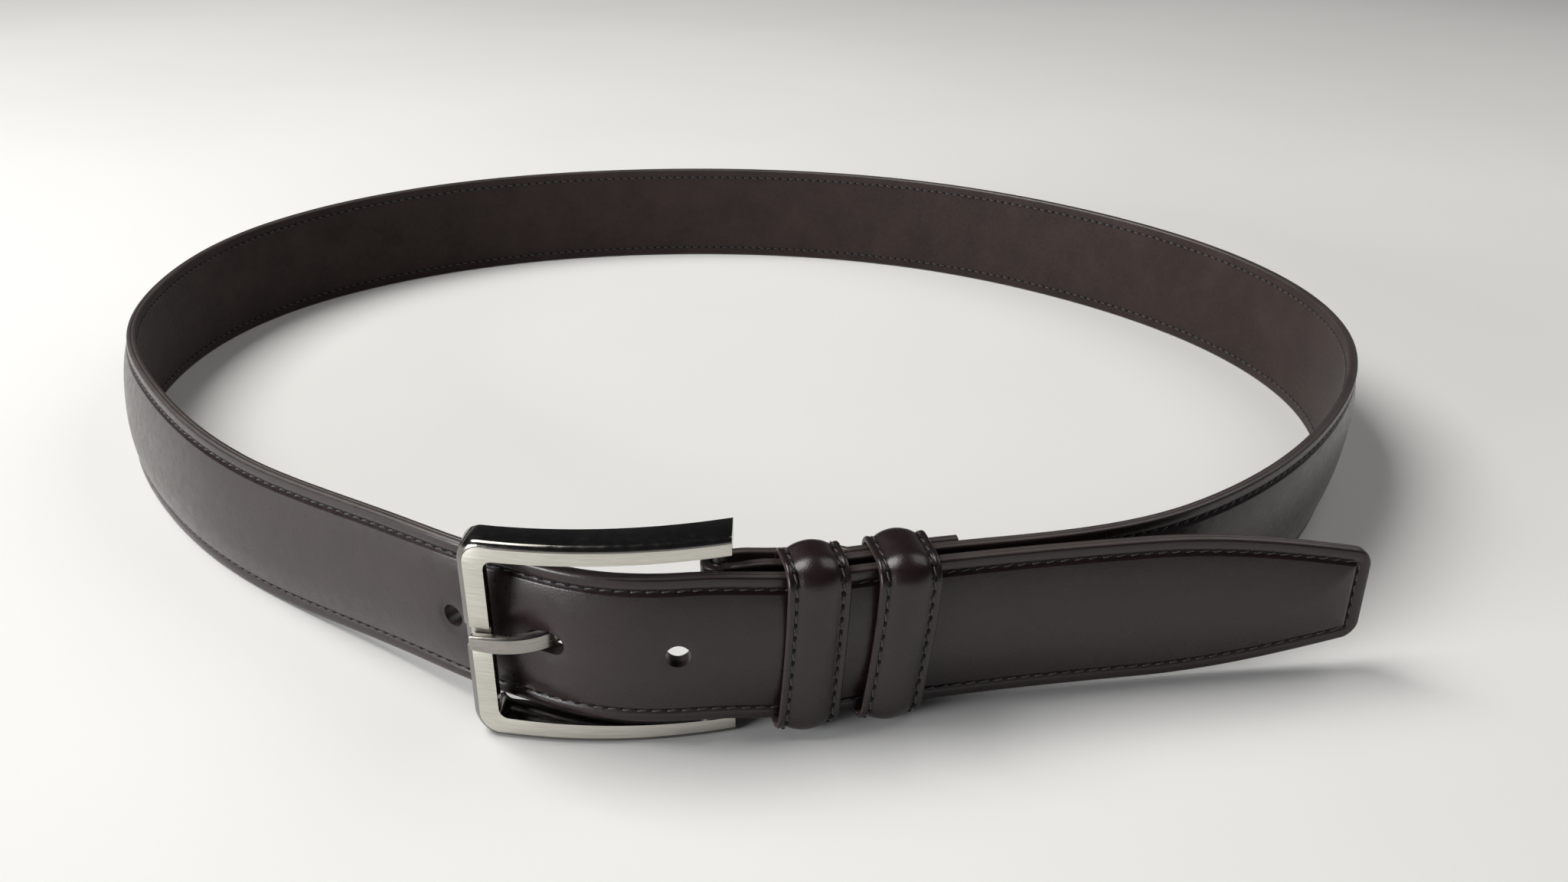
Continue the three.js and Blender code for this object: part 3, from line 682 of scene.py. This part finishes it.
def frame_stations():
    """Stations from the end of the lower arm, up the bar with its notch, to the end of the upper arm."""
    notched = [NOTCH_LOW + NOTCH_STEP, MID_HEIGHT, NOTCH_HIGH - NOTCH_STEP]
    plain = [12, 17, NOTCH_LOW - NOTCH_STEP, NOTCH_HIGH + NOTCH_STEP, 30, 35]
    bar = []
    for z in sorted(notched + plain):
        notch = NOTCH_DEPTH if z in notched else 0
        bar.append(((BUCKLE_LEFT, z), (BUCKLE_LEFT + BAR_WIDTH, z), BAR_DEPTH, notch, 0))
    top = [((o[0], BUCKLE_HEIGHT - o[1]), (i[0], BUCKLE_HEIGHT - i[1]), d, n, r)
           for o, i, d, n, r in reversed(half_frame(UPPER_ARM))]
    return half_frame(LOWER_ARM) + bar + top


def bevel_points(roundness):
    """From the outer side to the front face: a flat bevel, or a quarter circle."""
    points = []
    for t in np.linspace(0, 1, 7):
        a = math.pi / 2 * t
        arc = (BEVEL * (1 - math.cos(a)), BEVEL * (1 - math.sin(a)))
        flat = (BEVEL * t, BEVEL * (1 - t))
        points.append(tuple(r * roundness + f * (1 - roundness) for r, f in zip(arc, flat)))
    return points


def round_edges(obj, width, segments, degrees):
    """Rounds the edges that turn by more than an angle."""
    mod = obj.modifiers.new("bevel", "BEVEL")
    mod.width = width
    mod.segments = segments
    mod.limit_method = "ANGLE"
    mod.angle_limit = math.radians(degrees)
    bake(obj)


def buckle_frame():
    far = 99  # stands for the full width or depth of a station
    rows = []
    for out, inner, depth, notch, roundness in frame_stations():
        out, inner = np.array(out, float), np.array(inner, float)
        wide = np.hypot(*(inner - out))
        row = []
        for p, q in bevel_points(roundness) + [(far, 0), (far, far), (0, far)]:
            xz = out + (inner - out) * min(p, wide) / wide
            sunk = notch if q < 50 else 0
            row.append((xz[0], face_y(xz[0]) + min(q + sunk, depth), xz[1]))
        rows.append(row)
    verts = np.array(rows).reshape(-1, 3)
    verts = to_row(verts[:, :2], verts[:, 2])
    # Faces of kind 1, the sides and bevels, take the polished metal whose dark colour is a painted dark
    # reflection.
    kinds = [1] * 6 + [0] + [1] * 3
    faces, tags = tube_faces(len(rows), 10, kinds, 1)
    obj = make_object("buckle_frame_metal", verts, faces, [FACE_METAL, SIDE_METAL_PAINTED_DARK], tags)
    fix_normals(obj)
    round_edges(obj, 0.25 * MM, 3, 40)
    sockets = [(HEEL[0] * MM, HEEL[1] * MM, z * MM) for z in (6, 40)]
    subtract(obj, [round_cutter(1.6 * MM, 8.6 * MM, at, (0, 0, 1), 32, SIDE_METAL_PAINTED_DARK) for at in sockets])
    obj.data.set_sharp_from_angle(angle=math.radians(35))
    return obj


# ---- the prong ----
PRONG_HALF_THICK = 1.1
PRONG_HALF_HEIGHT = 1.9
PRONG_GAP = 0.3  # between the prong and the floor of the notch


def prong_rest(x):
    """The prong's middle line where it lies in the notch."""
    return face_y(x) + NOTCH_DEPTH - PRONG_GAP - PRONG_HALF_THICK


def prong_piece():
    tip = BUCKLE_LEFT + 1.5
    marks = np.array([
        [tip, prong_rest(tip)], [-46.5, prong_rest(-46.5)], [-43, prong_rest(-44)], [-38.5, -5.9],
        [-35.2, -4.6], [-34.0, -3.7], [-33.0, -2.2], [-31.6, -1.1],
        [-28, -0.9], [-17, -1.6], [0, -2.4],
    ])
    chords = np.r_[0, np.cumsum(np.hypot(*np.diff(marks, axis=0).T))]
    line = catmull(marks, chords, np.linspace(0, chords[-1], 110))
    along = np.gradient(line, axis=0)
    along /= np.hypot(*along.T)[:, None]
    side = np.stack([-along[:, 1], along[:, 0]], -1)
    height = PRONG_HALF_HEIGHT - 0.25 * smooth(-44, tip, line[:, 0])
    ring = [(-1, -0.8), (-0.62, -1), (0.62, -1), (1, -0.8), (1, 0.8), (0.62, 1), (-0.62, 1), (-1, 0.8)]
    rows = []
    for spot, across, half in zip(line, side, height):
        rows.append([(*(spot + across * PRONG_HALF_THICK * a), MID_HEIGHT + half * b) for a, b in ring])
    verts = np.array(rows).reshape(-1, 3)
    faces, tags = tube_faces(len(rows), len(ring))
    shank = make_object("prong_metal", to_row(verts[:, :2], verts[:, 2]), faces, [PRONG_METAL], tags)
    fix_normals(shank)
    centre = (HEEL[0] * MM, HEEL[1] * MM, MID_HEIGHT * MM)
    curl = round_cutter(3.5 * MM, 3.8 * MM, centre, (0, 0, 1), 48, PRONG_METAL)
    mod = shank.modifiers.new("join", "BOOLEAN")
    mod.operation = "UNION"
    mod.solver = "EXACT"
    mod.object = curl
    bake(shank)
    bpy.data.objects.remove(curl)
    subtract(shank, [round_cutter(1.75 * MM, 6 * MM, centre, (0, 0, 1), 40, PRONG_METAL)])
    round_edges(shank, 0.12 * MM, 2, 30)
    shank.data.set_sharp_from_angle(angle=math.radians(30))
    return shank


def catmull(points, knots, t):
    """A smooth curve through the points, by cubic Hermite pieces."""
    slopes = np.gradient(points, knots, axis=0)
    out = []
    for value in t:
        i = int(np.clip(np.searchsorted(knots, value) - 1, 0, len(knots) - 2))
        h = knots[i + 1] - knots[i]
        s = (value - knots[i]) / h
        out.append((2 * s ** 3 - 3 * s ** 2 + 1) * points[i] + (s ** 3 - 2 * s ** 2 + s) * h * slopes[i]
                   + (-2 * s ** 3 + 3 * s ** 2) * points[i + 1] + (s ** 3 - s ** 2) * h * slopes[i + 1])
    return np.array(out)


buckle = buckle_frame()
prong = prong_piece()


def prong_slot():
    """The punched hole, drawn out to a slot where the prong leans through the leather."""
    point, along, across = route(np.array([PRONG_AT]))
    z = float(lift(np.array([PRONG_AT]))[0]) + HALF_WIDTH
    bm = bmesh.new()
    for shift, radius in ((0.0, HOLE_RADIUS), (-2.2, HOLE_RADIUS - 0.3)):
        for depth in (-7, 7):
            middle = point[0] + along[0] * shift + (across[0] - along[0] * 0.25 * shift) * depth
            for turn in np.linspace(0, 2 * np.pi, 32, endpoint=False):
                spot = middle + along[0] * radius * math.cos(turn)
                bm.verts.new(to_row(spot, np.array(z + radius * math.sin(turn))))
    bmesh.ops.convex_hull(bm, input=bm.verts)
    return cutter_object(bm, EDGE_PAINT)


subtract(window, [prong_slot()])
window.data.set_sharp_from_angle(angle=math.radians(50))


# ---- stitching ----
def capsule(length, radius, rings, sides=8, bow=0.0):
    """A slim rounded stitch along x, bowed up along z."""
    verts, faces = [(-length / 2, 0, 0)], []
    for i in range(1, rings + 1):
        a = math.pi * i / (rings + 1)
        x, r = -math.cos(a) * length / 2, radius * math.sin(a) ** 0.6
        verts += [(x, r * math.cos(2 * math.pi * j / sides), r * math.sin(2 * math.pi * j / sides)
                   + bow * math.sin(a)) for j in range(sides)]
    verts.append((length / 2, 0, 0))
    last = len(verts) - 1
    for j in range(sides):
        k = (j + 1) % sides
        faces.append((0, 1 + k, 1 + j))
        faces.append((last, last - sides + j, last - sides + k))
        for i in range(rings - 1):
            a, b = 1 + i * sides, 1 + (i + 1) * sides
            faces.append((a + j, a + k, b + k, b + j))
    return np.array(verts), faces


STITCH = capsule(2.0, 0.22, 5, bow=0.08)
# A flat disc that carries the painted shade of a needle hole.
HOLE_SHADE_DISC = capsule(1.3, 0.46, 3)


# Shape, material, place along the row, height over the leather and flatness of a stitch and of a needle hole;
# the needle hole is a flat near-black disc, painted shade in place of the hole's recess.
STITCH_PARTS = ((STITCH, 0, 0.0, 0.06, 1.0), (HOLE_SHADE_DISC, 1, -PITCH / 2, 0.05, 0.22))


def scatter(name, places):
    """One mesh of stitches and needle holes, the holes flat discs of painted shade. A place is (point, along,
    out, turn in degrees).
    """
    verts, faces, tags, count = [], [], [], 0
    for point, along, out, turn in places:
        side = np.cross(out, along)
        side /= np.linalg.norm(side)
        c, s = math.cos(math.radians(turn)), math.sin(math.radians(turn))
        turned = along * c + side * s
        axes = np.stack([turned, np.cross(out, turned), out])
        for (shape, shape_faces), tag, shift, height, flat in STITCH_PARTS:
            base = point + along * shift * MM + out * height * MM
            verts.append(base + shape * np.array([1, 1, flat]) @ axes * MM)
            faces += [tuple(count + i for i in f) for f in shape_faces]
            tags += [tag] * len(shape_faces)
            count += len(shape)
    return make_object(name, np.vstack(verts), faces, [THREAD, HOLE_SHADE_PAINT], tags)


GRAIN_TURN = 14  # how far a stitch is turned out of its row, in degrees
INNER_TURN = -8


def row_places(u_from, u_to, side, inner=False):
    """Stitches of the upper (side 1) or lower (side -1) row, on the grain face or the lining's (inner)."""
    first = math.ceil(u_from / PITCH) * PITCH
    places = []
    for u in np.arange(first, u_to, PITCH):
        uu = np.array([u])
        w = side * (half_width(uu) - INSET)
        depth = np.array([BACK]) if inner else grain_depth(uu, w)
        point = strap_points(uu, w[:, None], depth[:, None])[0, 0]
        ahead = uu + 0.5
        w2 = side * (half_width(ahead) - INSET)
        depth2 = np.array([BACK]) if inner else grain_depth(ahead, w2)
        along = strap_points(ahead, w2[:, None], depth2[:, None])[0, 0] - point
        across = route(uu)[2][0]
        out = np.array([across[0], across[1], 0]) * (1 if inner else -1)
        along /= np.linalg.norm(along)
        places.append((point, along, out, INNER_TURN if inner else GRAIN_TURN))
    return places


def tip_places():
    """The row across the blunt end of the tail."""
    u = LENGTH - INSET
    reach = float(half_width(np.array([u]))[0]) - INSET
    across = route(np.array([u]))[2][0]
    out = np.array([-across[0], -across[1], 0])
    places = []
    for w in np.arange(-reach + 1.2, reach - 0.6, PITCH * 0.93):
        uu, ww = np.array([u]), np.array([[w]])
        point = strap_points(uu, ww, grain_depth(uu, ww[0])[None])[0, 0]
        places.append((point, np.array([0, 0, 1.0]), out, GRAIN_TURN))
    return places


def stitch_rows(u_from, u_to, faces=(False, True)):
    """Both rows between two distances, on the grain face (False), the lining face (True) or both."""
    return [place for side in (1, -1) for inner in faces for place in row_places(u_from, u_to, side, inner)]


def turnback_row():
    uu = np.array([TURNBACK_END - 2])
    point, _, across = route(uu)
    flesh = point[0] + across[0] * (BEHIND_LINING + FOLD_THICK / 2)
    places = []
    for w in np.arange(-13.5, 14, PITCH):
        spot = to_row(flesh, np.array(lift(uu)[0] + HALF_WIDTH + w))
        places.append((spot, np.array([0, 0, 1.0]), np.array([across[0, 0], across[0, 1], 0]), 10))
    return places


STITCHING = {
    "belt_stitching": stitch_rows(9, SPLIT, [False]) + stitch_rows(50, SPLIT, [True]),
    "near_buckle_stitching": stitch_rows(SPLIT, BEHIND_BAR),
    "window_stitching": stitch_rows(BEHIND_BAR, UNDER_FIXED),
    "in_keepers_stitching": stitch_rows(UNDER_FIXED, UNDER_FREE, [False]),
    "tail_stitching_row": stitch_rows(UNDER_FREE, LENGTH - 3.4) + tip_places(),
    "turnback_stitching_row": turnback_row(),
}
stitches = {name: scatter(name, places) for name, places in STITCHING.items()}


# ---- keepers ----
# at: distance along the strap; front, back, low and high: the inner wall; thin: thickness of the wall behind
# the strap, as a share of the front's; opening: half the gap between the ends; swing: shift along the strap
# at the foot and at the top.
KEEPERS = {
    "fixed_keeper": dict(at=19.2, front=-7.4, back=3.0, low=2.1, high=38.4,
                         thin=0.62, opening=9.0, swing=(-2.4, 0.1)),
    "free_keeper": dict(at=37.2, front=-7.9, back=5.5, low=2.1, high=36.9,
                        thin=1.0, opening=0.25, swing=(-3.2, 0.8)),
}
KEEPER_HALF = 6.3
# Outer height of the keeper's section against the distance from its middle line: rib, stitch valley, flange.
KEEPER_RISE = np.array([
    [0, 2.35], [0.8, 2.3], [1.6, 2.17], [2.4, 1.95], [3.0, 1.72], [3.5, 1.48], [3.95, 1.2], [4.3, 1.02],
    [4.7, 0.95], [5.0, 1.06], [5.3, 1.2], [5.7, 1.26], [6.0, 1.2], [6.2, 1.02], [6.3, 0.7],
])
KEEPER_ROW = 4.75  # distance of the stitch rows from the middle line
KEEPER_ROW_RISE = 0.97
KEEPER_PITCH = 2.9
SWING_TOP = 38
SWING_CURVE = 1.6
FRONT_CORNER = 3.6
BACK_CORNER = 2.2
SIDE_WALL = 0.85  # the wall's thickness along the keeper's top and bottom, as a share of the front's


def keeper_path(spec):
    """Stations from one end round to the other: depth, height, outward angle and scale of the wall."""
    front, back, low, high, thin = (spec[key] for key in ("front", "back", "low", "high", "thin"))
    middle = (low + high) / 2
    path = []

    def straight(a, b, angle, scale, count):
        for t in np.linspace(0, 1, count + 1)[1:-1]:
            path.append((a[0] + (b[0] - a[0]) * t, a[1] + (b[1] - a[1]) * t, angle, scale))

    def turn(cx, cz, start, radius, scales, count=12):
        for t in np.linspace(0, 1, count + 1):
            a = math.radians(start - 90 * t)
            path.append((cx + radius * math.cos(a), cz + radius * math.sin(a), start - 90 * t,
                         scales[0] + (scales[1] - scales[0]) * t))

    soft, tight = FRONT_CORNER, BACK_CORNER
    first, last = (back, middle - spec["opening"]), (back, middle + spec["opening"])
    path.append((*first, 0, thin))
    straight(first, (back, low + tight), 0, thin, 8)
    turn(back - tight, low + tight, 0, tight, (thin, SIDE_WALL))
    straight((back - tight, low), (front + soft, low), -90, SIDE_WALL, 6)
    turn(front + soft, low + soft, -90, soft, (SIDE_WALL, 1))
    straight((front, low + soft), (front, high - soft), -180, 1, 24)
    turn(front + soft, high - soft, -180, soft, (1, 1))
    straight((front + soft, high), (back - tight, high), -270, 1, 6)
    turn(back - tight, high - tight, -270, tight, (1, thin))
    straight((back, high - tight), last, -360, thin, 8)
    path.append((*last, -360, thin))
    return path


def keeper_frame(at):
    point, along, across = (v[0] for v in route(np.array([at])))
    return point, np.array([*along, 0]), np.array([*across, 0])


def keeper_spot(spec, station, out, q):
    """A point out from the inner wall and q along the strap from the keeper's middle, and its normal."""
    point, along, across = keeper_frame(spec["at"])
    depth, z, angle, scale = station
    at_foot, at_top = spec["swing"]
    q += at_top + (at_foot - at_top) * max(0, 1 - z / SWING_TOP) ** SWING_CURVE
    a = math.radians(angle)
    normal = across * math.cos(a) + np.array([0, 0, math.sin(a)])
    base = np.array([*(point + across[:2] * depth), z])
    spot = base + normal * out * scale + along * q
    return np.array([(spot[0] + HEEL[0]) * MM, (spot[1] + HEEL[1]) * MM, spot[2] * MM]), normal


def keeper_band(name, spec):
    path = keeper_path(spec)
    q_out = np.r_[-KEEPER_RISE[::-1, 0], KEEPER_RISE[1:, 0]]
    outer = [(np.interp(abs(q), KEEPER_RISE[:, 0], KEEPER_RISE[:, 1]), q) for q in q_out]
    edge = KEEPER_HALF - 0.2
    inner = [(0.25, KEEPER_HALF), (0.05, edge), (0.05, 0), (0.05, -edge), (0.25, -KEEPER_HALF)]
    section = outer + inner
    verts = np.array([[keeper_spot(spec, station, out, q)[0] for out, q in section] for station in path])
    kinds = [EDGE] + [GRAIN] * (len(outer) - 3) + [EDGE] * 2 + [LINING] * 3 + [EDGE] * 2
    faces, tags = tube_faces(len(path), len(section), kinds, EDGE)
    obj = make_object(name, verts.reshape(-1, 3), faces, [KEEPER_LEATHER, EDGE_PAINT, LINING_LEATHER], tags)
    fix_normals(obj)
    return obj


def keeper_stitches(name, spec):
    """Both rows, over the part of the band that faces down, forwards and up."""
    seen = [station for station in keeper_path(spec) if -300 <= station[2] <= -60]
    places = []
    for q in (-KEEPER_ROW, KEEPER_ROW):
        spots = np.array([keeper_spot(spec, station, KEEPER_ROW_RISE, q)[0] for station in seen])
        run = np.r_[0, np.cumsum(np.linalg.norm(np.diff(spots, axis=0), axis=1))] / MM
        count = int(run[-1] / KEEPER_PITCH)
        for s in (np.arange(count) + 0.5) * run[-1] / count:
            i = int(np.clip(np.searchsorted(run, s) - 1, 0, len(seen) - 2))
            t = (s - run[i]) / (run[i + 1] - run[i])
            station = tuple(a + (b - a) * t for a, b in zip(seen[i], seen[i + 1]))
            spot, normal = keeper_spot(spec, station, KEEPER_ROW_RISE, q)
            direction = spots[i + 1] - spots[i]
            places.append((spot, direction / np.linalg.norm(direction), normal, 9))
    return scatter(name, places)


keeper_objects = {}
for keeper_name, keeper_spec in KEEPERS.items():
    keeper_objects[keeper_name] = (keeper_band(keeper_name + "_band", keeper_spec),
                                   keeper_stitches(keeper_name + "_stitches", keeper_spec))


# ---- bodies ----
def stands_for(obj, body, slot, *nodes):
    """A piece that rides one body, in place of CAD nodes."""
    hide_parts(*nodes)
    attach(obj, body)


def bends(obj, bodies, slot, bend, *nodes):
    """A piece with its transform baked into the mesh, in place of CAD nodes."""
    if nodes:
        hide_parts(*nodes)
    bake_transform(obj)


BUCKLE_BEND = dict(start=strap_place(SPLIT + 4), end=strap_place(BEHIND_BAR - 16))
WINDOW_BEND = dict(start=strap_place(AT_HEEL - 16), end=strap_place(AT_HEEL + 9))
TAIL_BEND = dict(start=strap_place(AT_HINGE - 3), end=strap_place(AT_HINGE + 10))

stands_for(loop, "strap", "leather", "strap_cover", "strap_filler", "strap_lining")
stands_for(turnback, "strap", "leather")
bends(near_left, ("strap", "buckle"), "leather", BUCKLE_BEND)
bends(window, ("buckle", "strap"), "leather", WINDOW_BEND, "window_cover", "window_filler", "window_lining")
stands_for(under_keepers, "strap", "leather",
           "keeper_length_cover", "keeper_length_filler", "keeper_length_lining")
bends(tail, ("strap", "tail"), "leather", TAIL_BEND, "tail_cover", "tail_filler", "tail_lining")

stands_for(stitches["belt_stitching"], "strap", "thread", "strap_stitching_upper", "strap_stitching_lower")
stands_for(stitches["turnback_stitching_row"], "strap", "thread", "turnback_stitching")
stands_for(stitches["in_keepers_stitching"], "strap", "thread",
           "keeper_length_stitching_upper", "keeper_length_stitching_lower")
bends(stitches["near_buckle_stitching"], ("strap", "buckle"), "thread", BUCKLE_BEND)
bends(stitches["window_stitching"], ("buckle", "strap"), "thread", WINDOW_BEND,
      "window_stitching_upper", "window_stitching_lower")
bends(stitches["tail_stitching_row"], ("strap", "tail"), "thread", TAIL_BEND, "tail_stitching")

for keeper_name, body in (("fixed_keeper", "strap"), ("free_keeper", "free_keeper")):
    band, band_stitches = keeper_objects[keeper_name]
    stands_for(band, body, "keeper_leather", keeper_name + "_cover", keeper_name + "_filler")
    stands_for(band_stitches, body, "thread",
               keeper_name + "_stitching_left", keeper_name + "_stitching_right")

stands_for(buckle, "buckle", "buckle_metal", "buckle_frame")
stands_for(prong, "prong", "prong_metal", "prong")
for node in ("heel_bar", "free_keeper_staple"):
    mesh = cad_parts[node].data
    mesh.materials.clear()
    mesh.materials.append(PIN_METAL)


# ---- stage and lights ----
def floor():
    material, tree, shader = nodes_of("pale_floor")
    coords = coords_of(tree)
    clouds = noise(tree, coords, 3, 3, 0.5)
    color = ramp(tree, clouds, [(0.3, (0.76, 0.76, 0.745)), (0.7, (0.82, 0.82, 0.805))])
    tree.links.new(color, shader.inputs["Base Color"])
    shader.inputs["Roughness"].default_value = 0.85
    reach = 4.0
    verts = [(-reach, -reach, 0), (reach, -reach, 0), (reach, reach, 0), (-reach, reach, 0)]
    make_object("floor", verts, [(0, 1, 2, 3)], [material], [0])


def area(name, location, target, size, power, color):
    data = bpy.data.lights.new(name, "AREA")
    data.shape = "RECTANGLE"
    data.size, data.size_y = size
    data.energy = power
    data.color = color
    obj = bpy.data.objects.new(name, data)
    obj.visible_camera = False
    obj.location = location
    obj.rotation_euler = (Vector(target) - Vector(location)).to_track_quat("-Z", "Y").to_euler()
    bpy.context.scene.collection.objects.link(obj)


def studio_world():
    """Pale round the horizon and dim overhead, so that polished metal has something dark to reflect."""
    world = bpy.data.worlds.new("world")
    world.use_nodes = True
    tree = world.node_tree
    direction = tree.nodes.new("ShaderNodeTexCoord").outputs["Generated"]
    parts = tree.nodes.new("ShaderNodeSeparateXYZ")
    tree.links.new(direction, parts.inputs["Vector"])
    color = ramp(tree, value_ramp(tree, parts.outputs["Z"], -0.1, 0.6, 0, 1),
                 [(0.0, (0.62, 0.625, 0.63)), (0.16, (0.48, 0.485, 0.49)),
                  (0.3, (0.06, 0.06, 0.065)), (1.0, (0.035, 0.035, 0.04))])
    tree.links.new(color, tree.nodes["Background"].inputs["Color"])
    tree.nodes["Background"].inputs["Strength"].default_value = 1.0
    bpy.context.scene.world = world


floor()
area("key", (-0.8, 0.12, 1.25), (0, -0.03, 0), (0.9, 0.9), 22, (1.0, 0.985, 0.955))
area("back_fill", (0.75, 0.2, 1.0), (-0.1, -0.1, 0), (0.8, 0.8), 3.5, (1.0, 0.985, 0.96))
area("fill", (-1.05, -0.75, 0.24), (-0.1, -0.1, 0.03), (0.7, 0.4), 14, (0.97, 0.985, 1.0))
studio_world()
bpy.context.scene.view_settings.view_transform = "Standard"
